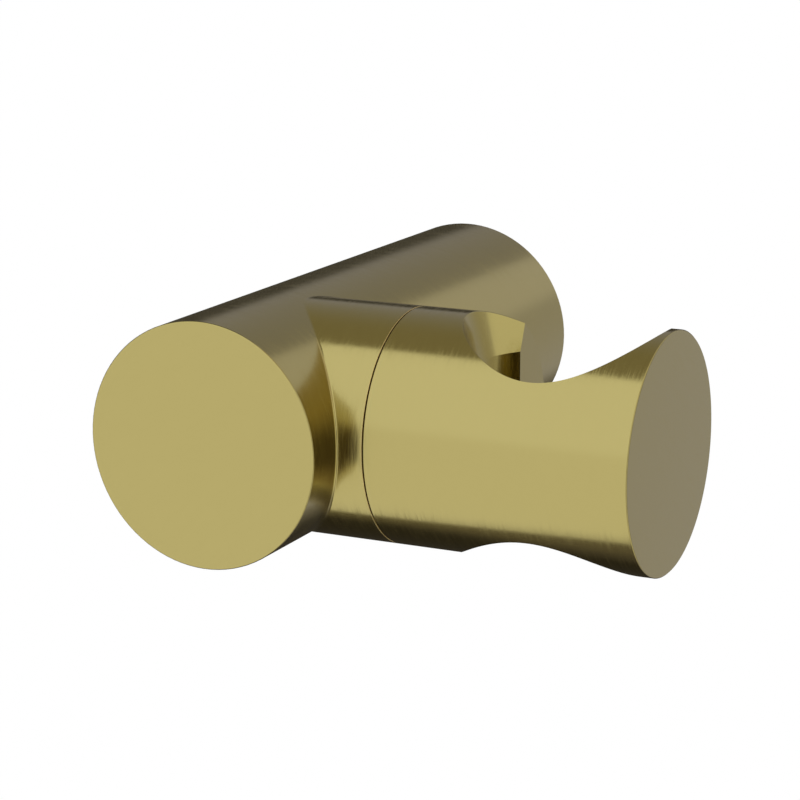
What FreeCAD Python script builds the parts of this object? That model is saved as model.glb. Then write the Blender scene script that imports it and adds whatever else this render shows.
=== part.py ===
import FreeCAD, Part
import math
import os

# Hand shower holder: a short round bar stands straight off the wall and carries a round side arm.
# The outer part of the arm is a cradle that turns about the arm's own axis. Its vertical bore is
# waisted, so the conical nut of a hand shower drops in from either end, and the hose passes the
# slot that faces the wall.
# Millimetres. The wall is the plane y = 0, the bar points along -Y, the arm along +X, +Z is up.

# Bar that stands off the wall
body_diameter = 31.0
body_length = 79.0
body_edge = 0.15
wall_edge = 0.15

# Side arm, a little thinner than the bar so that its neck runs into the bar's side. The neck is one
# piece with the bar, and the cradle follows after a thin seam.
arm_step = 0.5
arm_axis_from_front = 21.0
neck_length = 3.31
junction_bevel = 0.2
seam_gap = 0.12
seam_edge = 0.1
arm_end_edge = 0.15

# Waisted bore of the cradle: its cones start this far below the lowest point of the rim, at the
# arm's front. Then the solid web between the bore and the seam, the thin wall left at the arm's end
# beside the bore's mouth, and the hose slot.
bore_diameter = 22.1
cone_at_front = 1.0
bore_cone_angle = 15.4
bore_edge = 0.1
pivot_web = 9.02
end_wall = 1.04
slot_width = 17.6

# Socket in the bar and the turned plug that is screwed to the wall
socket_wall = 3.0
socket_lead_in = 0.5
plug_clearance = 0.1
plug_length = 14.0
plug_end_space = 1.0
plug_edge = 0.4
gasket_thickness = 1.0
gasket_margin = 0.3
wall_screw_hole = 4.3
wall_screw_head = 8.0
wall_screw_margin = 1.4
gasket_hole_margin = 0.5

# Grub screw that holds the bar on the plug, from below
grub_from_wall = 6.0
grub_diameter = 5.0
grub_socket_width = 2.5
grub_socket_depth = 1.6
grub_sunk = 0.25
grub_tip_diameter = 2.2
grub_groove_depth = 1.0
grub_groove_width = 3.4

# Rubber ring that takes up the play between plug and socket
ring_section = 1.6
ring_from_wall = 11.5
ring_squeeze = 0.15
ring_groove_margin = 0.15

# Shoulder screw on which the cradle turns
shoulder_diameter = 8.0
screw_thread = 6.0
screw_thread_length = 9.0
tapped_hole_extra = 2.0
screw_head_diameter = 10.0
screw_head_height = 3.0
screw_head_edge = 0.4
screw_socket_width = 4.0
screw_socket_depth = 1.8
screw_head_sunk = 0.3

# Running gaps of the turning joint, and the gap between parts that stay still on each other
running_gap = 0.05
seat_gap = 0.02
head_gap = 0.6

# Bearing parts on the shoulder
bush_wall = 1.5
thrust_washer_thickness = 0.6
recess_wall = 3.0
recess_depth = 3.0
friction_ring_margin = 0.3
spring_diameter = 17.0
spring_thickness = 0.6
spring_height = 1.1
spring_hole_margin = 0.3

# Sizes that follow from the ones above
body_radius = body_diameter / 2
arm_radius = body_radius - arm_step
arm_axis_from_wall = body_length - arm_axis_from_front
neck_end = body_radius + neck_length
bore_radius = bore_diameter / 2
bore_slope = math.tan(math.radians(bore_cone_angle))
rim_lowest = math.sqrt(arm_radius ** 2 - bore_radius ** 2)
bore_straight_half = rim_lowest - cone_at_front
bore_mouth_radius = bore_radius + (arm_radius - bore_straight_half) * bore_slope
cradle_start = neck_end + seam_gap
bore_centre = cradle_start + pivot_web + bore_radius
arm_end = bore_centre + bore_mouth_radius + end_wall
socket_radius = body_radius - socket_wall
socket_depth = gasket_thickness + plug_length + plug_end_space
plug_radius = socket_radius - plug_clearance
wall_screw_offset = plug_radius - wall_screw_margin - wall_screw_head / 2
shoulder_radius = shoulder_diameter / 2
recess_radius = arm_radius - recess_wall
recess_floor = neck_end - recess_depth
bush_inner_radius = shoulder_radius + running_gap
bush_outer_radius = bush_inner_radius + bush_wall
screw_head_radius = screw_head_diameter / 2
screw_head_top = bore_centre - bore_radius - screw_head_sunk
screw_head_seat = screw_head_top - screw_head_height
washer_seat = screw_head_seat - running_gap - thrust_washer_thickness

ALONG_X = FreeCAD.Vector(1, 0, 0)
ALONG_Y = FreeCAD.Vector(0, 1, 0)
OUT_OF_WALL = FreeCAD.Vector(0, -1, 0)
UP = FreeCAD.Vector(0, 0, 1)
DOWN = FreeCAD.Vector(0, 0, -1)
OVERSHOOT = 1.0
TOLERANCE = 1e-4
RING_FLATS = 8


def on_arm_axis(x):
    return FreeCAD.Vector(x, -arm_axis_from_wall, 0)


def on_body_axis(from_wall):
    return FreeCAD.Vector(0, -from_wall, 0)


def arm_cylinder(radius, x_start, x_end):
    return Part.makeCylinder(radius, x_end - x_start, on_arm_axis(x_start), ALONG_X)


def body_cylinder(radius, start, end):
    return Part.makeCylinder(radius, end - start, on_body_axis(start), OUT_OF_WALL)


def circle_edges(shape, radius, centre):
    found = []
    for edge in shape.Edges:
        curve = edge.Curve
        if not isinstance(curve, Part.Circle):
            continue
        same_radius = abs(curve.Radius - radius) < TOLERANCE
        if same_radius and curve.Center.distanceToPoint(centre) < TOLERANCE:
            found.append(edge)
    return found


def middle_of(edge):
    return edge.valueAt((edge.FirstParameter + edge.LastParameter) / 2)


def distance_from_arm_axis(point):
    return math.hypot(point.y + arm_axis_from_wall, point.z)


def distance_from_body_axis(point):
    return math.hypot(point.x, point.z)


def hexagon_prism(width, depth, centre, direction):
    corner_radius = width / math.sqrt(3)
    across = UP if abs(direction.dot(UP)) < 0.5 else ALONG_X
    other = direction.cross(across)
    corners = []
    for step in range(7):
        angle = math.radians(60 * step)
        corner = across * (corner_radius * math.cos(angle)) + other * (corner_radius * math.sin(angle))
        corners.append(centre + corner)
    face = Part.Face(Part.makePolygon(corners))
    return face.extrude(direction * depth)


def revolved(points, axis_point, axis):
    face = Part.Face(Part.makePolygon(points + [points[0]]))
    return face.revolve(axis_point, axis, 360)


def make_body():
    bar = body_cylinder(body_radius, 0, body_length)
    bar = bar.makeChamfer(body_edge, circle_edges(bar, body_radius, on_body_axis(body_length)))
    bar = bar.makeChamfer(wall_edge, circle_edges(bar, body_radius, on_body_axis(0)))
    neck = arm_cylinder(arm_radius, 0, neck_end)
    neck = neck.makeChamfer(seam_edge, circle_edges(neck, arm_radius, on_arm_axis(neck_end)))
    body = bar.fuse(neck).removeSplitter()

    # the corner between the bar and the neck is filled with a small bevel
    junction = []
    for edge in body.Edges:
        point = middle_of(edge)
        on_bar = abs(distance_from_body_axis(point) - body_radius) < 1e-3
        on_neck = abs(distance_from_arm_axis(point) - arm_radius) < 1e-3
        if on_bar and on_neck:
            junction.append(edge)
    body = body.makeChamfer(junction_bevel, junction)

    # socket for the wall plug, with a lead-in for the rubber ring
    socket = body_cylinder(socket_radius, -OVERSHOOT, socket_depth)
    lead_in = Part.makeCone(socket_radius + socket_lead_in, socket_radius, socket_lead_in,
                            on_body_axis(0), OUT_OF_WALL)
    # tapped hole for the grub screw, through the lower wall
    grub_hole = Part.makeCylinder(grub_diameter / 2, body_radius + OVERSHOOT,
                                  on_body_axis(grub_from_wall), DOWN)
    # round recess in the neck for the spring and the friction ring, and the tapped hole behind it
    recess = arm_cylinder(recess_radius, recess_floor, neck_end + OVERSHOOT)
    hole_bottom = recess_floor - screw_thread_length - tapped_hole_extra
    tapped_hole = arm_cylinder(screw_thread / 2 + seat_gap, hole_bottom, neck_end)
    return body.cut([socket, lead_in, grub_hole, recess, tapped_hole])


def waisted_bore():
    reach = arm_radius + OVERSHOOT
    cut_radius = bore_radius + (reach - bore_straight_half) * bore_slope
    axis_y = -arm_axis_from_wall
    profile = []
    for radius, z in ((0, -reach), (cut_radius, -reach), (bore_radius, -bore_straight_half),
                      (bore_radius, bore_straight_half), (cut_radius, reach), (0, reach)):
        profile.append(FreeCAD.Vector(bore_centre + radius, axis_y, z))
    return revolved(profile, FreeCAD.Vector(bore_centre, axis_y, 0), UP)


def hose_slot():
    depth = arm_radius + OVERSHOOT
    corner = FreeCAD.Vector(bore_centre - slot_width / 2, -arm_axis_from_wall, -depth)
    return Part.makeBox(slot_width, depth, 2 * depth, corner)


def broken_rims(shape, is_rim):
    # edges on the arm's round outside that the test picks, broken by a small bevel
    rims = []
    for edge in shape.Edges:
        point = middle_of(edge)
        on_outside = abs(distance_from_arm_axis(point) - arm_radius) < 1e-3
        own_seam = edge.isSeam(shape.ancestorsOfType(edge, Part.Face)[0])
        if on_outside and not own_seam and is_rim(point):
            rims.append(edge)
    return shape.makeChamfer(bore_edge, rims)


def on_bore_rim(point):
    return cradle_start + seam_edge + TOLERANCE < point.x < arm_end - arm_end_edge - TOLERANCE


def on_slot_rim(point):
    behind = point.y > -arm_axis_from_wall
    return behind and abs(abs(point.x - bore_centre) - slot_width / 2) < TOLERANCE


def make_cradle():
    cradle = arm_cylinder(arm_radius, cradle_start, arm_end)
    cradle = cradle.makeChamfer(seam_edge, circle_edges(cradle, arm_radius, on_arm_axis(cradle_start)))
    cradle = cradle.makeChamfer(arm_end_edge, circle_edges(cradle, arm_radius, on_arm_axis(arm_end)))
    cradle = broken_rims(cradle.cut(waisted_bore()), on_bore_rim)
    cradle = broken_rims(cradle.cut(hose_slot()), on_slot_rim)

    # pivot hole for the bush, and the sunk seat of the screw head, open to the bore
    pivot_hole = arm_cylinder(bush_outer_radius + seat_gap, cradle_start - OVERSHOOT, bore_centre)
    head_seat = arm_cylinder(screw_head_radius + head_gap, washer_seat, bore_centre)
    return cradle.cut([pivot_hole, head_seat])


def make_wall_plug():
    front = gasket_thickness + plug_length
    plug = body_cylinder(plug_radius, gasket_thickness, front)
    plug = plug.makeChamfer(plug_edge, circle_edges(plug, plug_radius, on_body_axis(front)))
    cuts = []
    head_depth = (wall_screw_head - wall_screw_hole) / 2
    for side in (-1, 1):
        place = UP * (side * wall_screw_offset)
        hole_start = on_body_axis(-OVERSHOOT) + place
        cuts.append(Part.makeCylinder(wall_screw_hole / 2, front + 2 * OVERSHOOT, hole_start, OUT_OF_WALL))
        sink_start = on_body_axis(front - head_depth) + place
        cuts.append(Part.makeCone(wall_screw_hole / 2, wall_screw_head / 2, head_depth,
                                  sink_start, OUT_OF_WALL))
    # vee groove for the tip of the grub screw
    groove = []
    for radius, shift in ((plug_radius + OVERSHOOT, -1), (plug_radius + OVERSHOOT, 1)):
        slope = OVERSHOOT / grub_groove_depth
        half_width = grub_groove_width / 2 * (1 + slope)
        groove.append(FreeCAD.Vector(radius, -grub_from_wall + shift * half_width, 0))
    groove.append(FreeCAD.Vector(plug_radius - grub_groove_depth, -grub_from_wall, 0))
    cuts.append(revolved(groove, FreeCAD.Vector(0, 0, 0), ALONG_Y))
    # square groove for the rubber ring
    floor_radius = socket_radius - ring_section + ring_squeeze - seat_gap
    half_groove = ring_section / 2 + ring_groove_margin
    ring_band = body_cylinder(plug_radius + OVERSHOOT, ring_from_wall - half_groove,
                              ring_from_wall + half_groove)
    core = body_cylinder(floor_radius, ring_from_wall - half_groove, ring_from_wall + half_groove)
    cuts.append(ring_band.cut(core))
    return plug.cut(cuts)


def make_plug_ring():
    # the rubber ring is squeezed between the groove floor and the socket, and its round section is
    # drawn with eight flats, one of them on the floor and one on the socket
    half_height = (ring_section - ring_squeeze) / 2
    middle = socket_radius - seat_gap - half_height
    corner_reach = half_height / math.cos(math.pi / RING_FLATS)
    section = []
    for step in range(RING_FLATS):
        angle = 2 * math.pi * (step + 0.5) / RING_FLATS
        section.append(FreeCAD.Vector(middle + corner_reach * math.cos(angle),
                                      -ring_from_wall + corner_reach * math.sin(angle), 0))
    return revolved(section, on_body_axis(0), ALONG_Y)


def make_gasket():
    radius = plug_radius - gasket_margin
    gasket = body_cylinder(radius, 0, gasket_thickness)
    holes = []
    for side in (-1, 1):
        start = on_body_axis(-OVERSHOOT) + UP * (side * wall_screw_offset)
        hole_radius = wall_screw_hole / 2 + gasket_hole_margin / 2
        holes.append(Part.makeCylinder(hole_radius, gasket_thickness + 2 * OVERSHOOT, start, OUT_OF_WALL))
    return gasket.cut(holes)


def make_grub_screw():
    radius = grub_diameter / 2 - seat_gap
    tip_radius = grub_tip_diameter / 2
    outer_end = body_radius - grub_sunk
    # the tip stops where its rim meets the sides of the groove
    groove_slope = grub_groove_depth / (grub_groove_width / 2)
    tip = plug_radius - grub_groove_depth + tip_radius * groove_slope + seat_gap
    shoulder = tip + (radius - tip_radius)
    profile = []
    for out, down in ((0, outer_end), (radius, outer_end), (radius, shoulder), (tip_radius, tip), (0, tip)):
        profile.append(FreeCAD.Vector(out, -grub_from_wall, -down))
    screw = revolved(profile, on_body_axis(grub_from_wall), UP)
    start = on_body_axis(grub_from_wall) + DOWN * (outer_end - grub_socket_depth)
    socket = hexagon_prism(grub_socket_width, grub_socket_depth + OVERSHOOT, start, DOWN)
    return screw.cut(socket)


def make_pivot_screw():
    thread = arm_cylinder(screw_thread / 2, recess_floor - screw_thread_length, recess_floor)
    shoulder = arm_cylinder(shoulder_radius, recess_floor, screw_head_seat)
    head = arm_cylinder(screw_head_radius, screw_head_seat, screw_head_top)
    head = head.makeChamfer(screw_head_edge, circle_edges(head, screw_head_radius, on_arm_axis(screw_head_top)))
    screw = thread.fuse([shoulder, head]).removeSplitter()
    start = on_arm_axis(screw_head_top - screw_socket_depth)
    socket = hexagon_prism(screw_socket_width, screw_socket_depth + OVERSHOOT, start, ALONG_X)
    return screw.cut(socket)


def make_pivot_bush():
    bush = arm_cylinder(bush_outer_radius, cradle_start, washer_seat)
    return bush.cut(arm_cylinder(bush_inner_radius, cradle_start - OVERSHOOT, washer_seat + OVERSHOOT))


def make_thrust_washer():
    outer_radius = screw_head_radius + head_gap / 2
    washer = arm_cylinder(outer_radius, washer_seat, washer_seat + thrust_washer_thickness)
    return washer.cut(arm_cylinder(bush_inner_radius, washer_seat - OVERSHOOT, screw_head_top))


def make_disc_spring():
    inner = shoulder_radius + spring_hole_margin
    outer = spring_diameter / 2
    rise = spring_height - spring_thickness
    profile = []
    for radius, height in ((outer, 0), (outer, spring_thickness),
                           (inner, rise + spring_thickness), (inner, rise)):
        profile.append(on_arm_axis(recess_floor + height) + UP * radius)
    return revolved(profile, on_arm_axis(0), ALONG_X)


def make_friction_ring():
    start = recess_floor + spring_height
    end = cradle_start - running_gap
    ring = arm_cylinder(recess_radius - friction_ring_margin, start, end)
    inner_radius = shoulder_radius + spring_hole_margin
    return ring.cut(arm_cylinder(inner_radius, start - OVERSHOOT, end + OVERSHOOT))


nodes = {
    "body": make_body,
    "wall_plug": make_wall_plug,
    "wall_gasket": make_gasket,
    "plug_o_ring": make_plug_ring,
    "grub_screw": make_grub_screw,
    "pivot_screw": make_pivot_screw,
    "disc_spring": make_disc_spring,
    "friction_ring": make_friction_ring,
    "cradle": make_cradle,
    "pivot_bush": make_pivot_bush,
    "thrust_washer": make_thrust_washer,
}

os.makedirs("parts", exist_ok=True)
for name, make in nodes.items():
    shape = make()
    print(name, shape.ShapeType, "solids", len(shape.Solids), "valid", shape.isValid(),
          "volume", round(shape.Volume, 2))
    shape.exportStep("parts/" + name + ".step")
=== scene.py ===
import bpy
import math
from mathutils import Matrix, Quaternion, Vector


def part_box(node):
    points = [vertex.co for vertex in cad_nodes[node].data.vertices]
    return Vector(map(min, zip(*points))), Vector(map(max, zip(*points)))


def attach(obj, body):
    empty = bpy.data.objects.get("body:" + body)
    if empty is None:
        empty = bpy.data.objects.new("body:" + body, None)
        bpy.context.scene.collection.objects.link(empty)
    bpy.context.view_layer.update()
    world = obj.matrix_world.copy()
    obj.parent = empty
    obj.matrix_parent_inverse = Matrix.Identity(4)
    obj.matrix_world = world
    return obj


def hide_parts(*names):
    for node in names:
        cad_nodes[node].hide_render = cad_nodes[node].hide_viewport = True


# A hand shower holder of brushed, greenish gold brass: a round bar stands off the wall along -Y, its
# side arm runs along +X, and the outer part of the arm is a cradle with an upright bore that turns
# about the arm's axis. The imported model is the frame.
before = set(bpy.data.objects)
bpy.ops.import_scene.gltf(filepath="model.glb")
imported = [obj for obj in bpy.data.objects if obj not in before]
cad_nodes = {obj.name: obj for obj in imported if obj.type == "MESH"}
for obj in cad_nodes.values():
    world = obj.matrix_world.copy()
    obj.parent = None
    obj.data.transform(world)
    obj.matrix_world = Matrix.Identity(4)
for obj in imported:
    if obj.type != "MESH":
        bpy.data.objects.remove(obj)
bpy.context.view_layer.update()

# Camera: a long lens to the right of the bar's front end and a little above it. Its place, turn and
# lens were fitted to the outline of the bar and the arm.
camera_azimuth = math.radians(25.749)
camera_elevation = math.radians(13.491)
camera_roll = math.radians(0.106)
camera_data = bpy.data.cameras.new("camera")
camera_data.sensor_width = 36.0
camera_data.lens = 111.63
camera_data.clip_start = 0.01
camera_data.clip_end = 50.0
camera = bpy.data.objects.new("camera", camera_data)
bpy.context.scene.collection.objects.link(camera)
camera.location = (0.14822, -0.33065, 0.07562)
look = Vector((-math.sin(camera_azimuth) * math.cos(camera_elevation),
               math.cos(camera_azimuth) * math.cos(camera_elevation),
               -math.sin(camera_elevation)))
camera.rotation_mode = "QUATERNION"
camera.rotation_quaternion = Quaternion(look, camera_roll) @ look.to_track_quat("-Z", "Y")
bpy.context.scene.camera = camera
bpy.context.scene.view_settings.view_transform = "Standard"

# White room: an even white world, and a plain white floor well below the holder, which hangs on its
# wall. Both are plain white to the camera, and they light the rubber and the plastic.
world = bpy.data.worlds.new("white_room")
bpy.context.scene.world = world
world.use_nodes = True
world.node_tree.nodes["Background"].inputs["Color"].default_value = (1, 1, 1, 1)
world.node_tree.nodes["Background"].inputs["Strength"].default_value = 1.0

floor_below = 1.6
floor_width = 40.0
bpy.ops.object.select_all(action="DESELECT")
bpy.ops.mesh.primitive_plane_add(size=floor_width, location=(0, 0, -floor_below))
floor = bpy.context.object
floor.name = "floor"
floor_paint = bpy.data.materials.new("floor_paint")
floor_paint.use_nodes = True
floor_surface = floor_paint.node_tree.nodes["Principled BSDF"]
floor_surface.inputs["Base Color"].default_value = (1, 1, 1, 1)
floor_surface.inputs["Roughness"].default_value = 1.0
floor_surface.inputs["Specular IOR Level"].default_value = 0.0
floor.data.materials.append(floor_paint)

# Reflection tent: a round shell that glows and shows only in reflections. Its colour is painted
# reflection, the light and shade that give the metal its bands. It is white in front and darker
# behind: grey high up, and low down nearly black to the left and grey to the right. A dark card
# beside the camera is painted on it too.
card_distance = 1.5
bpy.ops.object.select_all(action="DESELECT")
bpy.ops.mesh.primitive_uv_sphere_add(segments=64, ring_count=32, radius=card_distance,
                                     location=(0.02, -0.05, 0))
glowing_tent = bpy.context.object
glowing_tent.name = "glowing_reflection_tent"
glowing_tent.visible_camera = False
glowing_tent.visible_diffuse = False
glowing_tent.visible_shadow = False
glowing_tent.visible_transmission = False
# the tent's glow: painted reflections of light and shade for the metal
painted_reflection_glow = bpy.data.materials.new("painted_reflection_glow")
painted_reflection_glow.use_nodes = True
painted_reflection_glow.node_tree.nodes.clear()


def connect(tree, value, socket):
    # a socket is linked, and a number or a colour is set
    if isinstance(value, bpy.types.NodeSocket):
        tree.links.new(value, socket)
    else:
        socket.default_value = value


def calculate(tree, operation, *values):
    node = tree.nodes.new("ShaderNodeMath")
    node.operation = operation
    for value, socket in zip(values, node.inputs):
        connect(tree, value, socket)
    return node.outputs[0]


def soft_step(tree, value, low, high, result_low=0.0, result_high=1.0):
    node = tree.nodes.new("ShaderNodeMapRange")
    node.interpolation_type = "SMOOTHSTEP"
    connect(tree, value, node.inputs["Value"])
    node.inputs["From Min"].default_value = low
    node.inputs["From Max"].default_value = high
    node.inputs["To Min"].default_value = result_low
    node.inputs["To Max"].default_value = result_high
    return node.outputs["Result"]


def mix_colours(tree, share, first, second):
    node = tree.nodes.new("ShaderNodeMix")
    node.data_type = "RGBA"
    connect(tree, share, node.inputs["Factor"])
    connect(tree, first, node.inputs[6])
    connect(tree, second, node.inputs[7])
    return node.outputs[2]


tent_paint = painted_reflection_glow.node_tree
place = tent_paint.nodes.new("ShaderNodeTexCoord")
direction = tent_paint.nodes.new("ShaderNodeVectorMath")
direction.operation = "NORMALIZE"
tent_paint.links.new(place.outputs["Object"], direction.inputs[0])
split = tent_paint.nodes.new("ShaderNodeSeparateXYZ")
tent_paint.links.new(direction.outputs[0], split.inputs[0])
to_right, to_back, to_top = split.outputs


def tent_step(low, high, right=0.0, back=0.0, top=0.0):
    # a soft edge across the tent, along the plane that these three shares of the direction make
    sideways = calculate(tent_paint, "MULTIPLY_ADD", to_back, back,
                         calculate(tent_paint, "MULTIPLY", to_right, right))
    return soft_step(tent_paint, calculate(tent_paint, "MULTIPLY_ADD", to_top, top, sideways), low, high)


def right_of_middle(low, high):
    # the left and right halves of the back meet a little to the right of straight behind
    return tent_step(low, high, right=1, back=-0.14)


def tent_corner(furthest_left, middle, softness):
    # the edge between front and back on the left, which turns forward towards the top and the floor
    turn = 1.15
    turned = calculate(tent_paint, "MULTIPLY", calculate(tent_paint, "MAXIMUM", to_right, furthest_left), turn)
    return soft_step(tent_paint, calculate(tent_paint, "ADD", to_back, turned), middle - softness,
                     middle + softness)


# the back's left half of the painted reflection, with a faint glow low down next to the front and
# towards the middle
high_left = mix_colours(tent_paint, tent_step(0.30, 0.85, back=1),
                        (0.295, 0.266, 0.203, 1), (0.307, 0.297, 0.328, 1))
low_left = mix_colours(tent_paint, tent_step(-0.5, 0.0, top=1),
                       (0.034, 0.030, 0.024, 1), (0.058, 0.052, 0.040, 1))
next_to_front = calculate(tent_paint, "MULTIPLY", tent_step(0.7, 0.85, top=-1),
                          tent_step(-0.18, 0.04, back=-1))
low_left = mix_colours(tent_paint, next_to_front, low_left, (0.160, 0.141, 0.098, 1))
low_left = mix_colours(tent_paint, right_of_middle(-0.22, -0.04), low_left, (0.170, 0.155, 0.130, 1))

# the back's right half, and the whole back, whose upper part comes down further on the right
high_right = (0.605, 0.594, 0.660, 1)
low_right = mix_colours(tent_paint, tent_step(0.35, 0.75, right=1),
                        (0.458, 0.449, 0.505, 1), (0.455, 0.422, 0.350, 1))
high_back = mix_colours(tent_paint, right_of_middle(-0.03, 0.03), high_left, high_right)
low_back = mix_colours(tent_paint, right_of_middle(-0.05, 0.05), low_left, low_right)
edge_of_high = mix_colours(tent_paint, tent_step(-0.1, 0.1, right=1), tent_step(0.215, 0.275, top=1),
                           tent_step(0.08, 0.21, top=1))
# the painted reflection of the darker back
painted_back_reflection = mix_colours(tent_paint, edge_of_high, low_back, high_back)

# the painted reflection of the front, a little brighter high up and dimmer far to the right, and where
# it meets the back
painted_front_reflection = mix_colours(tent_paint, tent_step(0.06, 0.20, top=1), (1, 1, 1, 1), (1.075, 1.09, 1.13, 1))
painted_front_reflection = mix_colours(tent_paint, tent_step(0.3, 0.8, right=1), painted_front_reflection, (0.92, 0.91, 0.87, 1))
in_left_half = mix_colours(tent_paint, tent_step(-0.05, 0.05, top=1), tent_corner(-0.43, -0.54, 0.015),
                           tent_corner(-0.40, -0.504, 0.02))
in_right_half = tent_step(-0.02, 0.02, right=-0.65, back=1)
behind = calculate(tent_paint, "MINIMUM", in_left_half, in_right_half)
painted = mix_colours(tent_paint, behind, painted_front_reflection, painted_back_reflection)

# painted reflections of what seems to stand before the tent: a grey card above to the right, the dark
# card and a grey floor; none of them is an object of the scene
above_right = calculate(tent_paint, "MULTIPLY", tent_step(0.05, 0.25, right=1),
                        tent_step(0.5, 0.75, top=1))
painted = mix_colours(tent_paint, above_right, painted, (0.68, 0.61, 0.55, 1))
beside_camera = calculate(tent_paint, "MULTIPLY", tent_step(-0.03, 0.03, right=0.956, back=0.292, top=-0.18),
                          tent_step(0.10, 0.24, right=-0.423, back=-0.906))
# the dark card's painted reflection, paler towards the top and greyer far down
painted_card_reflection = mix_colours(tent_paint, tent_step(-0.05, 0.85, top=1), (0.125, 0.10, 0.082, 1),
                          (0.68, 0.59, 0.45, 1))
painted_card_reflection = mix_colours(tent_paint, tent_step(0.45, 0.95, top=-1), painted_card_reflection, (0.45, 0.38, 0.33, 1))
painted = mix_colours(tent_paint, beside_camera, painted, painted_card_reflection)
# painted reflection of a grey floor straight below
painted = mix_colours(tent_paint, tent_step(0.88, 1.0, top=-1), painted, (0.17, 0.15, 0.15, 1))
glow = tent_paint.nodes.new("ShaderNodeEmission")
tent_paint.links.new(painted, glow.inputs["Color"])
card_output = tent_paint.nodes.new("ShaderNodeOutputMaterial")
tent_paint.links.new(glow.outputs[0], card_output.inputs["Surface"])
glowing_tent.data.materials.append(painted_reflection_glow)

# Wall plug: a slug of raw brass turned on a lathe, bolted to the wall with two countersunk screws
# of the installer's. The bar slides over it. Its turned lines run round it on every side.


def turned_lines():
    # lines left by a lathe tool: they follow circles about an axis, on the ends and round the side
    group = bpy.data.node_groups.new("turned_lines", "ShaderNodeTree")
    group.interface.new_socket("Position", in_out="INPUT", socket_type="NodeSocketVector")
    group.interface.new_socket("Axis", in_out="INPUT", socket_type="NodeSocketVector")
    group.interface.new_socket("Lines per metre", in_out="INPUT", socket_type="NodeSocketFloat")
    group.interface.new_socket("Lines", in_out="OUTPUT", socket_type="NodeSocketFloat")
    group.interface.new_socket("Blotches", in_out="OUTPUT", socket_type="NodeSocketFloat")
    start = group.nodes.new("NodeGroupInput")
    end = group.nodes.new("NodeGroupOutput")
    along = group.nodes.new("ShaderNodeVectorMath")
    along.operation = "DOT_PRODUCT"
    group.links.new(start.outputs["Position"], along.inputs[0])
    group.links.new(start.outputs["Axis"], along.inputs[1])
    on_axis = group.nodes.new("ShaderNodeVectorMath")
    on_axis.operation = "SCALE"
    group.links.new(start.outputs["Axis"], on_axis.inputs[0])
    group.links.new(along.outputs["Value"], on_axis.inputs["Scale"])
    out = group.nodes.new("ShaderNodeVectorMath")
    out.operation = "DISTANCE"
    group.links.new(start.outputs["Position"], out.inputs[0])
    group.links.new(on_axis.outputs[0], out.inputs[1])
    where = group.nodes.new("ShaderNodeCombineXYZ")
    group.links.new(along.outputs["Value"], where.inputs[0])
    group.links.new(out.outputs["Value"], where.inputs[1])
    lines = group.nodes.new("ShaderNodeTexNoise")
    lines.noise_dimensions = "2D"
    group.links.new(where.outputs[0], lines.inputs["Vector"])
    group.links.new(start.outputs["Lines per metre"], lines.inputs["Scale"])
    lines.inputs["Detail"].default_value = 3.0
    group.links.new(lines.outputs["Fac"], end.inputs["Lines"])
    blotches = group.nodes.new("ShaderNodeTexNoise")
    group.links.new(start.outputs["Position"], blotches.inputs["Vector"])
    blotches.inputs["Scale"].default_value = 260.0
    blotches.inputs["Detail"].default_value = 4.0
    group.links.new(blotches.outputs["Fac"], end.inputs["Blotches"])
    return group


def turned_metal(name, dark, light, axis, axis_place, lines_per_metre, roughness, depth):
    # dark and light are the colours between which the metal varies, and depth is that of the lines
    metal = bpy.data.materials.new(name)
    metal.use_nodes = True
    tree = metal.node_tree
    surface = tree.nodes["Principled BSDF"]
    surface.inputs["Metallic"].default_value = 1.0
    place = tree.nodes.new("ShaderNodeTexCoord")
    centred = tree.nodes.new("ShaderNodeVectorMath")
    centred.operation = "SUBTRACT"
    tree.links.new(place.outputs["Object"], centred.inputs[0])
    centred.inputs[1].default_value = axis_place
    turned = tree.nodes.new("ShaderNodeGroup")
    turned.node_tree = lathe_lines
    tree.links.new(centred.outputs[0], turned.inputs["Position"])
    turned.inputs["Axis"].default_value = axis
    turned.inputs["Lines per metre"].default_value = lines_per_metre
    share = calculate(tree, "MULTIPLY", turned.outputs["Lines"], turned.outputs["Blotches"])
    colour = mix_colours(tree, soft_step(tree, share, 0.1, 0.42), dark, light)
    tree.links.new(colour, surface.inputs["Base Color"])
    rough = soft_step(tree, turned.outputs["Lines"], 0.3, 0.7, roughness - 0.06, roughness + 0.08)
    tree.links.new(rough, surface.inputs["Roughness"])
    bump = tree.nodes.new("ShaderNodeBump")
    bump.inputs["Distance"].default_value = depth
    bump.inputs["Strength"].default_value = 0.6
    tree.links.new(turned.outputs["Lines"], bump.inputs["Height"])
    tree.links.new(bump.outputs["Normal"], surface.inputs["Normal"])
    return metal


def finish_node(node_name, material):
    slots = cad_nodes[node_name].data.materials
    slots.clear()
    slots.append(material)


lathe_lines = turned_lines()
raw_brass = turned_metal("raw_brass", (0.50, 0.33, 0.11, 1), (0.72, 0.52, 0.22, 1),
                         axis=(0, 1, 0), axis_place=(0, 0, 0), lines_per_metre=5200,
                         roughness=0.30, depth=0.000012)
finish_node("wall_plug", raw_brass)

# Gasket: a black rubber disc between the plug and the tiles, with holes for the two wall screws. It
# is punched from sheet, matt, with a little chalk in its surface.


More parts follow.
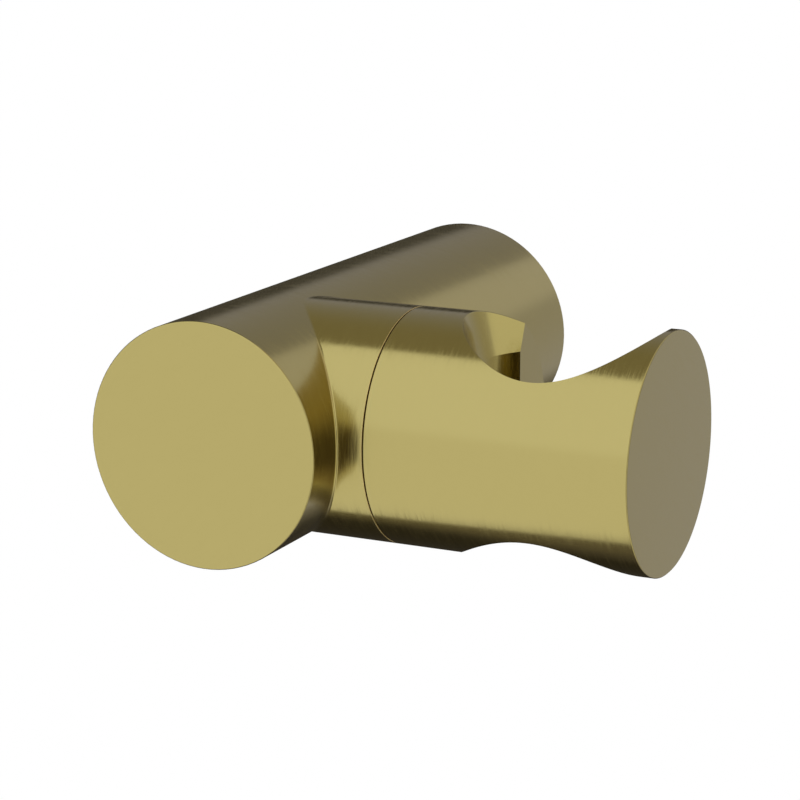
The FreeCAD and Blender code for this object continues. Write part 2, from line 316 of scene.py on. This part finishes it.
def matt_rubber(name, chalk):
    rubber = bpy.data.materials.new(name)
    rubber.use_nodes = True
    tree = rubber.node_tree
    surface = tree.nodes["Principled BSDF"]
    surface.inputs["Specular IOR Level"].default_value = 0.35
    place = tree.nodes.new("ShaderNodeTexCoord")
    bloom = tree.nodes.new("ShaderNodeTexNoise")
    bloom.inputs["Scale"].default_value = 900.0
    bloom.inputs["Detail"].default_value = 5.0
    tree.links.new(place.outputs["Object"], bloom.inputs["Vector"])
    grain = tree.nodes.new("ShaderNodeTexNoise")
    grain.inputs["Scale"].default_value = 6500.0
    tree.links.new(place.outputs["Object"], grain.inputs["Vector"])
    colour = mix_colours(tree, soft_step(tree, bloom.outputs["Fac"], 0.4, 0.75),
                         (0.012, 0.012, 0.013, 1), chalk)
    tree.links.new(colour, surface.inputs["Base Color"])
    rough = soft_step(tree, bloom.outputs["Fac"], 0.3, 0.7, 0.55, 0.8)
    tree.links.new(rough, surface.inputs["Roughness"])
    bump = tree.nodes.new("ShaderNodeBump")
    bump.inputs["Distance"].default_value = 0.00002
    bump.inputs["Strength"].default_value = 0.5
    tree.links.new(grain.outputs["Fac"], bump.inputs["Height"])
    tree.links.new(bump.outputs["Normal"], surface.inputs["Normal"])
    return rubber


sheet_rubber = matt_rubber("sheet_rubber", (0.023, 0.023, 0.024, 1))
finish_node("wall_gasket", sheet_rubber)

# Rubber ring: it lies in the plug's square groove and takes up the play between plug and bar. It is
# moulded round, and squeezed flat where it touches the groove's floor and the bar's socket.
ring_low, ring_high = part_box("plug_o_ring")
ring_outer = ring_high.x
ring_squeezed = ring_high.y - ring_low.y
ring_middle = ring_outer - ring_squeezed / 2
ring_section_radius = 0.0008
bpy.ops.object.select_all(action="DESELECT")
bpy.ops.mesh.primitive_torus_add(major_radius=ring_middle, minor_radius=ring_section_radius,
                                 major_segments=128, minor_segments=24,
                                 location=(0, (ring_low.y + ring_high.y) / 2, 0),
                                 rotation=(math.pi / 2, 0, 0))
ring = bpy.context.object
ring.name = "rubber_ring"
bpy.ops.object.transform_apply(location=True, rotation=True, scale=True)
for vertex in ring.data.vertices:
    from_axis = math.hypot(vertex.co.x, vertex.co.z)
    pressed = min(max(from_axis, ring_middle - ring_squeezed / 2), ring_middle + ring_squeezed / 2)
    vertex.co.x *= pressed / from_axis
    vertex.co.z *= pressed / from_axis
    vertex.co.y = min(max(vertex.co.y, ring_low.y), ring_high.y)
bpy.ops.object.shade_smooth()
ring.data.materials.append(matt_rubber("moulded_rubber", (0.03, 0.03, 0.03, 1)))
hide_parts("plug_o_ring")
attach(ring, "bracket")

# Bar and neck: two turned pieces of brass, brazed into one, brushed and plated in greenish gold. The
# bar slides over the wall plug. The brush lines run round the bar and round the neck, and straight
# across the front end.
body_low, body_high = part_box("body")
cradle_low, cradle_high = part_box("cradle")
bar_radius = body_high.z
bar_front = body_low.y
neck_end = body_high.x
arm_radius = cradle_high.z
arm_from_wall = (cradle_low.y + cradle_high.y) / 2
socket_radius = 0.0125
spring_recess_radius = 0.012
grub_hole_radius = 0.0025
grub_hole_place = Vector((0, -0.006, 0))


def brushed_lines():
    # fine lines of a brushing wheel. Across is the direction from one line to the next, and the
    # normal rocks a little along the lines, so that the edges of reflections are frayed
    group = bpy.data.node_groups.new("brushed_lines", "ShaderNodeTree")
    for name, kind in (("Position", "NodeSocketVector"), ("Across", "NodeSocketVector"),
                       ("World across", "NodeSocketVector"), ("Dark", "NodeSocketColor"),
                       ("Light", "NodeSocketColor"), ("Smoothest", "NodeSocketFloat"),
                       ("Roughest", "NodeSocketFloat"), ("Fray", "NodeSocketFloat"),
                       ("Lines per metre", "NodeSocketFloat"),
                       ("Breaks per metre", "NodeSocketFloat")):
        group.interface.new_socket(name, in_out="INPUT", socket_type=kind)
    for name, kind in (("Colour", "NodeSocketColor"), ("Roughness", "NodeSocketFloat"),
                       ("Normal", "NodeSocketVector")):
        group.interface.new_socket(name, in_out="OUTPUT", socket_type=kind)
    start = group.nodes.new("NodeGroupInput")
    end = group.nodes.new("NodeGroupOutput")

    def vectors(operation, *values):
        node = group.nodes.new("ShaderNodeVectorMath")
        node.operation = operation
        for value, socket in zip(values, node.inputs):
            connect(group, value, socket)
        return node

    def scaled(vector, amount):
        node = vectors("SCALE", vector)
        connect(group, amount, node.inputs["Scale"])
        return node.outputs[0]

    step = vectors("DOT_PRODUCT", start.outputs["Position"], start.outputs["Across"]).outputs["Value"]

    def noise_of_lines(coarser, longer):
        # the pattern is drawn out along the lines
        across = calculate(group, "DIVIDE", start.outputs["Lines per metre"], coarser)
        along = calculate(group, "DIVIDE", start.outputs["Breaks per metre"], longer)
        stretch = scaled(start.outputs["Across"],
                         calculate(group, "MULTIPLY", step, calculate(group, "SUBTRACT", across, along)))
        stretched = vectors("ADD", scaled(start.outputs["Position"], along), stretch)
        noise = group.nodes.new("ShaderNodeTexNoise")
        noise.inputs["Scale"].default_value = 1.0
        noise.inputs["Detail"].default_value = 2.0
        group.links.new(stretched.outputs[0], noise.inputs["Vector"])
        return noise.outputs["Fac"]

    share_of_short = 0.65
    short_lines = noise_of_lines(coarser=1.0, longer=1.0)
    long_lines = noise_of_lines(coarser=2.0, longer=4.0)
    lines = calculate(group, "ADD", calculate(group, "MULTIPLY", short_lines, share_of_short),
                      calculate(group, "MULTIPLY", long_lines, 1 - share_of_short))
    share = soft_step(group, lines, 0.36, 0.64)
    group.links.new(mix_colours(group, share, start.outputs["Dark"], start.outputs["Light"]),
                    end.inputs["Colour"])
    spread = calculate(group, "SUBTRACT", start.outputs["Roughest"], start.outputs["Smoothest"])
    few_rough_lines = calculate(group, "POWER", share, 2.0)
    rough = calculate(group, "MULTIPLY_ADD", few_rough_lines, spread, start.outputs["Smoothest"])
    group.links.new(rough, end.inputs["Roughness"])
    facing = group.nodes.new("ShaderNodeNewGeometry")
    along_lines = vectors("CROSS_PRODUCT", start.outputs["World across"], facing.outputs["Normal"])
    rocking = calculate(group, "MULTIPLY", calculate(group, "SUBTRACT", lines, 0.5),
                        start.outputs["Fray"])
    rocked = vectors("ADD", facing.outputs["Normal"], scaled(along_lines.outputs[0], rocking))
    group.links.new(vectors("NORMALIZE", rocked.outputs[0]).outputs[0], end.inputs["Normal"])
    return group


def brushed_brass(name, across, fray, lines_per_metre=9500.0, breaks_per_metre=300.0, upright=False):
    # the brushed surface spreads a reflection across its lines a little more than along them. The
    # lines of an upright surface run up and down, and the way across them follows its roundness
    brass = bpy.data.materials.new(name)
    brass.use_nodes = True
    tree = brass.node_tree
    surface = tree.nodes["Principled BSDF"]
    surface.inputs["Metallic"].default_value = 1.0
    surface.inputs["Anisotropic"].default_value = 0.3
    place = tree.nodes.new("ShaderNodeTexCoord")
    lines = tree.nodes.new("ShaderNodeGroup")
    lines.node_tree = brush_lines
    tree.links.new(place.outputs["Object"], lines.inputs["Position"])
    lines.inputs["Across"].default_value = across
    lines.inputs["Lines per metre"].default_value = lines_per_metre
    lines.inputs["Breaks per metre"].default_value = breaks_per_metre
    to_world = tree.nodes.new("ShaderNodeVectorTransform")
    to_world.vector_type = "VECTOR"
    to_world.convert_from = "OBJECT"
    to_world.convert_to = "WORLD"
    to_world.inputs[0].default_value = across
    world_across = to_world.outputs[0]
    if upright:
        facing = tree.nodes.new("ShaderNodeNewGeometry")
        sideways = tree.nodes.new("ShaderNodeVectorMath")
        sideways.operation = "CROSS_PRODUCT"
        tree.links.new(world_across, sideways.inputs[0])
        tree.links.new(facing.outputs["Normal"], sideways.inputs[1])
        world_across = sideways.outputs[0]
    tree.links.new(world_across, lines.inputs["World across"])
    tree.links.new(world_across, surface.inputs["Tangent"])
    lines.inputs["Dark"].default_value = (0.462, 0.392, 0.145, 1)
    lines.inputs["Light"].default_value = (0.474, 0.402, 0.149, 1)
    lines.inputs["Smoothest"].default_value = 0.14
    lines.inputs["Roughest"].default_value = 0.255
    lines.inputs["Fray"].default_value = fray
    tree.links.new(lines.outputs["Colour"], surface.inputs["Base Color"])
    tree.links.new(lines.outputs["Roughness"], surface.inputs["Roughness"])
    tree.links.new(lines.outputs["Normal"], surface.inputs["Normal"])
    return brass


def round_side(centre, axis, radius, facing=1, slope=0.0):
    # the side of a cylinder, or of a cone whose radius grows by slope per metre along the axis from
    # the centre. It gives how far a point is from that side, and the side's normal there
    lean = math.atan(slope)

    def side(point):
        along = (point - centre).dot(axis)
        out = point - centre - axis * along
        gap = abs(out.length - radius - slope * along) * math.cos(lean)
        normal = out.normalized() * math.cos(lean) - axis * math.sin(lean)
        return gap, normal * facing
    return side


def flat_face(centre, normal):
    def face(point):
        return abs((point - centre).dot(normal)), normal
    return face


def select_only(piece):
    bpy.ops.object.select_all(action="DESELECT")
    piece.select_set(True)
    bpy.context.view_layer.objects.active = piece


# corners closer together than this are merged into one
same_corner = 0.0000005


def merged_copy(node_name, piece_name):
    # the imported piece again, with its loose facets merged at their corners
    piece = bpy.data.objects.new(piece_name, cad_nodes[node_name].data.copy())
    bpy.context.scene.collection.objects.link(piece)
    select_only(piece)
    bpy.ops.object.mode_set(mode="EDIT")
    bpy.ops.mesh.select_all(action="SELECT")
    bpy.ops.mesh.remove_doubles(threshold=same_corner)
    bpy.ops.object.mode_set(mode="OBJECT")
    return piece


def dress_surfaces(piece, surfaces, inside):
    # each surface is a side or a face with its material. Its facets get that material and the
    # surface's true normals, the thin bevels between two surfaces look rounded, and every other
    # facet gets the material of the inside
    materials = [inside]
    for measure, material in surfaces:
        if material not in materials:
            materials.append(material)
    mesh = piece.data
    mesh.materials.clear()
    for material in materials:
        mesh.materials.append(material)
    on_surface = 0.00001
    facet_match = 0.9
    bevel_match = 0.3
    normals = [corner.vector.copy() for corner in mesh.corner_normals]
    for facet in mesh.polygons:
        facet.use_smooth = True
        facet.material_index = 0
        corners = [mesh.vertices[number].co for number in facet.vertices]
        whole = []
        for measure, material in surfaces:
            gap = max(measure(corner)[0] for corner in corners)
            match = measure(facet.center)[1].dot(facet.normal)
            if gap < on_surface and match > facet_match:
                whole.append((match, measure, material))
        if whole:
            match, measure, material = max(whole, key=lambda found: found[0])
            facet.material_index = materials.index(material)
            for corner, loop in zip(corners, facet.loop_indices):
                normals[loop] = measure(corner)[1]
            continue
        for corner, loop in zip(corners, facet.loop_indices):
            near = []
            for measure, material in surfaces:
                gap, normal = measure(corner)
                if gap < on_surface and normal.dot(facet.normal) > bevel_match:
                    near.append((normal.dot(facet.normal), normal, material))
            if near:
                match, normals[loop], material = max(near, key=lambda found: found[0])
                facet.material_index = materials.index(material)
    mesh.normals_split_custom_set(normals)


brush_lines = brushed_lines()
brush_slant = math.radians(36.9)
right = Vector((1, 0, 0))
back = Vector((0, 1, 0))
up = Vector((0, 0, 1))
arm_axis_place = Vector((0, arm_from_wall, 0))
inner_brass = turned_metal("inner_brass", (0.58, 0.45, 0.17, 1), (0.72, 0.57, 0.24, 1),
                           axis=(0, 1, 0), axis_place=(0, 0, 0), lines_per_metre=4300,
                           roughness=0.32, depth=0.00001)
bar_brass = brushed_brass("brushed_brass_round_the_bar", (0, 1, 0), 0.045)
arm_brass = brushed_brass("brushed_brass_round_the_arm", (1, 0, 0), 0.045)
front_brass = brushed_brass("brushed_brass_of_the_front",
                            (-math.sin(brush_slant), 0, math.cos(brush_slant)), 0.01)
bar = merged_copy("body", "bar_and_neck")
# the bevel in the corner is widened on the bar's side, as a brazed and brushed corner looks, and
# less and less towards the top and the bottom of the neck
corner_width = 0.0004
corner_reach = 0.0005
on_the_bar = 0.000002
fade_end = 0.013
fade_length = 0.006
wall_end = Vector((0, 0, 0))
bar_side = round_side(wall_end, back, bar_radius)
neck_side = round_side(arm_axis_place, right, arm_radius)
for vertex in bar.data.vertices:
    neck_gap, neck_normal = neck_side(vertex.co)
    if vertex.co.x > 0 and bar_side(vertex.co)[0] < on_the_bar and neck_gap < corner_reach:
        share = min(max((fade_end - abs(vertex.co.z)) / fade_length, 0.0), 1.0)
        vertex.co.y += math.copysign(corner_width * share, neck_normal.y)
dress_surfaces(bar, [
    (bar_side, bar_brass),
    (neck_side, arm_brass),
    (flat_face(Vector((0, bar_front, 0)), -back), front_brass),
    (flat_face(wall_end, back), inner_brass),
    (flat_face(Vector((neck_end, 0, 0)), right), inner_brass),
    (round_side(wall_end, back, socket_radius, facing=-1), inner_brass),
    (round_side(arm_axis_place, right, spring_recess_radius, facing=-1), inner_brass),
    (round_side(grub_hole_place, up, grub_hole_radius, facing=-1), inner_brass),
], inner_brass)
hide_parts("body")
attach(bar, "bracket")

# Grub screw: a stainless set screw with a cone point and a hexagon socket, driven up from below
# through the bar's wall into the vee groove of the plug.


def shape_with(piece, tool, operation):
    # the tool is joined to the piece, cut from it, or trims it to what both share. Then it is deleted
    change = piece.modifiers.new("shape", "BOOLEAN")
    change.operation = operation
    change.solver = "EXACT"
    change.object = tool
    select_only(piece)
    bpy.ops.object.modifier_apply(modifier=change.name)
    bpy.data.objects.remove(tool, do_unlink=True)


def thread_rod(radius, pitch, start, end):
    # a rod along Z with a screw thread: one tooth is wound up by the Screw modifier, and the ends
    # are cut flat
    root = radius - 0.54 * pitch
    half_crest = 0.08 * pitch
    turns = math.ceil((end - start) / pitch) + 2
    tooth = bpy.data.meshes.new("tooth")
    tooth.from_pydata([(root, 0, 0), (radius, 0, pitch / 2 - half_crest),
                       (radius, 0, pitch / 2 + half_crest), (root, 0, pitch)],
                      [(0, 1), (1, 2), (2, 3)], [])
    rod = bpy.data.objects.new("rod", tooth)
    bpy.context.scene.collection.objects.link(rod)
    select_only(rod)
    winding = rod.modifiers.new("winding", "SCREW")
    winding.screw_offset = pitch
    winding.iterations = turns
    winding.steps = 48
    winding.render_steps = 48
    winding.use_merge_vertices = True
    winding.merge_threshold = same_corner
    bpy.ops.object.modifier_apply(modifier=winding.name)
    for vertex in rod.data.vertices:
        vertex.co.z += start - pitch
    bpy.ops.object.mode_set(mode="EDIT")
    bpy.ops.mesh.select_all(action="SELECT")
    bpy.ops.mesh.remove_doubles(threshold=same_corner)
    bpy.ops.mesh.select_all(action="SELECT")
    bpy.ops.mesh.bisect(plane_co=(0, 0, start), plane_no=(0, 0, 1), clear_inner=True, use_fill=True)
    bpy.ops.mesh.select_all(action="SELECT")
    bpy.ops.mesh.bisect(plane_co=(0, 0, end), plane_no=(0, 0, 1), clear_outer=True, use_fill=True)
    bpy.ops.mesh.select_all(action="SELECT")
    bpy.ops.mesh.normals_make_consistent(inside=False)
    bpy.ops.object.mode_set(mode="OBJECT")
    return rod


def turned_blank(profile):
    # a solid turned about Z from its outline, given as radius and height from bottom to top
    outline = bpy.data.meshes.new("outline")
    points = [(radius, 0, height) for radius, height in profile]
    outline.from_pydata(points, [(number, number + 1) for number in range(len(points) - 1)], [])
    blank = bpy.data.objects.new("blank", outline)
    bpy.context.scene.collection.objects.link(blank)
    select_only(blank)
    bpy.ops.object.mode_set(mode="EDIT")
    bpy.ops.mesh.select_all(action="SELECT")
    bpy.ops.mesh.spin(steps=64, angle=2 * math.pi, center=(0, 0, 0), axis=(0, 0, 1))
    bpy.ops.mesh.select_all(action="SELECT")
    bpy.ops.mesh.remove_doubles(threshold=same_corner)
    bpy.ops.mesh.normals_make_consistent(inside=False)
    bpy.ops.object.mode_set(mode="OBJECT")
    return blank


def hexagon_key(width, low, high):
    # a rod along Z, as wide across its flats as the key that fits the socket
    bpy.ops.object.select_all(action="DESELECT")
    bpy.ops.mesh.primitive_cylinder_add(vertices=6, radius=width / math.sqrt(3), depth=high - low,
                                        location=(0, 0, (high + low) / 2))
    bpy.ops.object.transform_apply(location=True, rotation=True, scale=True)
    return bpy.context.object


def set_in_place(piece, name, turn, place, material, node_name):
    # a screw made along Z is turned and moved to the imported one's place, and stays with the bracket
    piece.name = name
    piece.data.transform(Matrix.Translation(place) @ turn)
    select_only(piece)
    bpy.ops.object.shade_smooth_by_angle(angle=math.radians(28))
    piece.data.materials.clear()
    piece.data.materials.append(material)
    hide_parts(node_name)
    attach(piece, "bracket")


grub_low, grub_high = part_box("grub_screw")
grub_length = grub_high.z - grub_low.z
grub_radius = grub_high.x
grub_pitch = 0.0008
grub_tip_radius = 0.0011
grub_chamfer = 0.0004
cone_length = grub_radius - grub_tip_radius
past_thread = 0.0001
grub = thread_rod(grub_radius, grub_pitch, 0.0, grub_length)
shape_with(grub, turned_blank([
    (0, 0),
    (grub_radius - grub_chamfer, 0),
    (grub_radius + past_thread, grub_chamfer + past_thread),
    (grub_radius + past_thread, grub_length - cone_length - past_thread),
    (grub_tip_radius, grub_length),
    (0, grub_length),
]), "INTERSECT")
grub_key_width = 0.0025
grub_key_depth = 0.0016
key_past_face = 0.001
shape_with(grub, hexagon_key(grub_key_width, -key_past_face, grub_key_depth), "DIFFERENCE")
grub_steel = turned_metal("grub_screw_steel", (0.42, 0.41, 0.40, 1), (0.60, 0.59, 0.57, 1),
                          axis=(0, 0, 1), axis_place=grub_hole_place, lines_per_metre=7000,
                          roughness=0.28, depth=0.000006)
set_in_place(grub, "set_screw", Matrix.Identity(4), grub_hole_place + up * grub_low.z, grub_steel,
             "grub_screw")

# Shoulder screw: a stainless screw whose ground shoulder is the cradle's pivot. Its thread goes into
# the neck, and its round head with a hexagon socket is sunk below the wall of the bore.
pivot_low, pivot_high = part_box("pivot_screw")
recess_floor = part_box("disc_spring")[0].x
shoulder_radius = 0.004
head_radius = pivot_high.z
head_height = 0.003
head_seat = pivot_high.x - head_height
head_edge = 0.0005
relief_radius = 0.0022
relief_length = 0.0004
chamfer = 0.0001
pivot = turned_blank([
    (0, recess_floor - relief_length),
    (relief_radius, recess_floor - relief_length),
    (relief_radius, recess_floor),
    (shoulder_radius - chamfer, recess_floor),
    (shoulder_radius, recess_floor + chamfer),
    (shoulder_radius, head_seat),
    (head_radius - chamfer, head_seat),
    (head_radius, head_seat + chamfer),
    (head_radius, pivot_high.x - head_edge),
    (head_radius - 0.3 * head_edge, pivot_high.x - 0.3 * head_edge),
    (head_radius - head_edge, pivot_high.x),
    (0, pivot_high.x),
])
thread_radius = 0.003
thread_pitch = 0.001
thread_gap = 0.0002
lead_in_radius = 0.0023
lead_in_length = 0.0009
thread = thread_rod(thread_radius, thread_pitch, pivot_low.x, recess_floor - thread_gap)
shape_with(thread, turned_blank([
    (0, pivot_low.x),
    (lead_in_radius, pivot_low.x),
    (thread_radius + thread_gap, pivot_low.x + lead_in_length),
    (thread_radius + thread_gap, recess_floor),
    (0, recess_floor),
]), "INTERSECT")
shape_with(pivot, thread, "UNION")
pivot_key_width = 0.004
pivot_key_depth = 0.0018
shape_with(pivot, hexagon_key(pivot_key_width, pivot_high.x - pivot_key_depth,
                              pivot_high.x + key_past_face), "DIFFERENCE")
pivot_steel = turned_metal("shoulder_screw_steel", (0.46, 0.45, 0.44, 1), (0.64, 0.63, 0.61, 1),
                           axis=(1, 0, 0), axis_place=arm_axis_place, lines_per_metre=6000,
                           roughness=0.24, depth=0.000006)
set_in_place(pivot, "shoulder_screw", Matrix.Rotation(math.pi / 2, 4, "Y"), arm_axis_place,
             pivot_steel, "pivot_screw")

# Spring and friction ring: a coned steel washer in the neck's recess presses a white acetal ring on
# the cradle's end face, so that the cradle stays where it is turned.
spring_steel = turned_metal("spring_steel", (0.24, 0.23, 0.21, 1), (0.38, 0.37, 0.36, 1),
                            axis=(1, 0, 0), axis_place=arm_axis_place, lines_per_metre=3000,
                            roughness=0.36, depth=0.000008)
finish_node("disc_spring", spring_steel)


def acetal(name, axis_place, lines_per_metre):
    # hard white plastic, turned from rod: waxy, with the faint lines of the tool
    plastic = bpy.data.materials.new(name)
    plastic.use_nodes = True
    tree = plastic.node_tree
    surface = tree.nodes["Principled BSDF"]
    surface.inputs["Specular IOR Level"].default_value = 0.45
    place = tree.nodes.new("ShaderNodeTexCoord")
    centred = tree.nodes.new("ShaderNodeVectorMath")
    centred.operation = "SUBTRACT"
    tree.links.new(place.outputs["Object"], centred.inputs[0])
    centred.inputs[1].default_value = axis_place
    turned = tree.nodes.new("ShaderNodeGroup")
    turned.node_tree = lathe_lines
    tree.links.new(centred.outputs[0], turned.inputs["Position"])
    turned.inputs["Axis"].default_value = (1, 0, 0)
    turned.inputs["Lines per metre"].default_value = lines_per_metre
    colour = mix_colours(tree, soft_step(tree, turned.outputs["Blotches"], 0.3, 0.7),
                         (0.74, 0.73, 0.68, 1), (0.83, 0.82, 0.79, 1))
    tree.links.new(colour, surface.inputs["Base Color"])
    rough = soft_step(tree, turned.outputs["Lines"], 0.3, 0.7, 0.38, 0.52)
    tree.links.new(rough, surface.inputs["Roughness"])
    bump = tree.nodes.new("ShaderNodeBump")
    bump.inputs["Distance"].default_value = 0.00001
    bump.inputs["Strength"].default_value = 0.5
    tree.links.new(turned.outputs["Lines"], bump.inputs["Height"])
    tree.links.new(bump.outputs["Normal"], surface.inputs["Normal"])
    return plastic


bearing_plastic = acetal("white_acetal", arm_axis_place, 5000)
finish_node("friction_ring", bearing_plastic)

# Cradle: the outer part of the arm, of the same brushed brass. Its upright bore is narrow in the
# middle and opens in a cone at both ends, and the hose passes the slot towards the wall. The bore's
# own brush lines run up and down.
bore_radius = 0.01105
bore_middle = Vector((0.039, arm_from_wall, 0))
half_waist = 0.009144
upper_cone = bore_middle + up * half_waist
lower_cone = bore_middle - up * half_waist
cone_slope = math.tan(math.radians(15.4))
slot_half_width = 0.0088
cradle_start = cradle_low.x
arm_end = cradle_high.x
head_recess_radius = 0.0056
bush_hole_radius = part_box("pivot_bush")[1].z
end_brass = brushed_brass("brushed_brass_of_the_end",
                          (0, math.sin(brush_slant), math.cos(brush_slant)), 0.01)
bore_brass = brushed_brass("brushed_brass_of_the_bore", (0, 0, 1), 0.08, lines_per_metre=300.0,
                           breaks_per_metre=9500.0, upright=True)
slot_brass = brushed_brass("brushed_brass_of_the_slot", (0, 1, 0), 0.03)
cradle = merged_copy("cradle", "cradle_arm")
dress_surfaces(cradle, [
    (round_side(arm_axis_place, right, arm_radius), arm_brass),
    (flat_face(Vector((arm_end, 0, 0)), right), end_brass),
    (flat_face(Vector((cradle_start, 0, 0)), -right), inner_brass),
    (round_side(bore_middle, up, bore_radius, facing=-1), bore_brass),
    (round_side(upper_cone, up, bore_radius, facing=-1, slope=cone_slope), bore_brass),
    (round_side(lower_cone, -up, bore_radius, facing=-1, slope=cone_slope), bore_brass),
    (flat_face(bore_middle - right * slot_half_width, right), slot_brass),
    (flat_face(bore_middle + right * slot_half_width, -right), slot_brass),
    (round_side(arm_axis_place, right, head_recess_radius, facing=-1), inner_brass),
    (round_side(arm_axis_place, right, bush_hole_radius, facing=-1), inner_brass),
], inner_brass)
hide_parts("cradle")
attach(cradle, "swivel_cradle")

# Bush and washer: two white acetal bearings pressed into the cradle, one round the screw's shoulder
# and one under its head, so that brass never runs on steel.
finish_node("pivot_bush", bearing_plastic)
finish_node("thrust_washer", bearing_plastic)
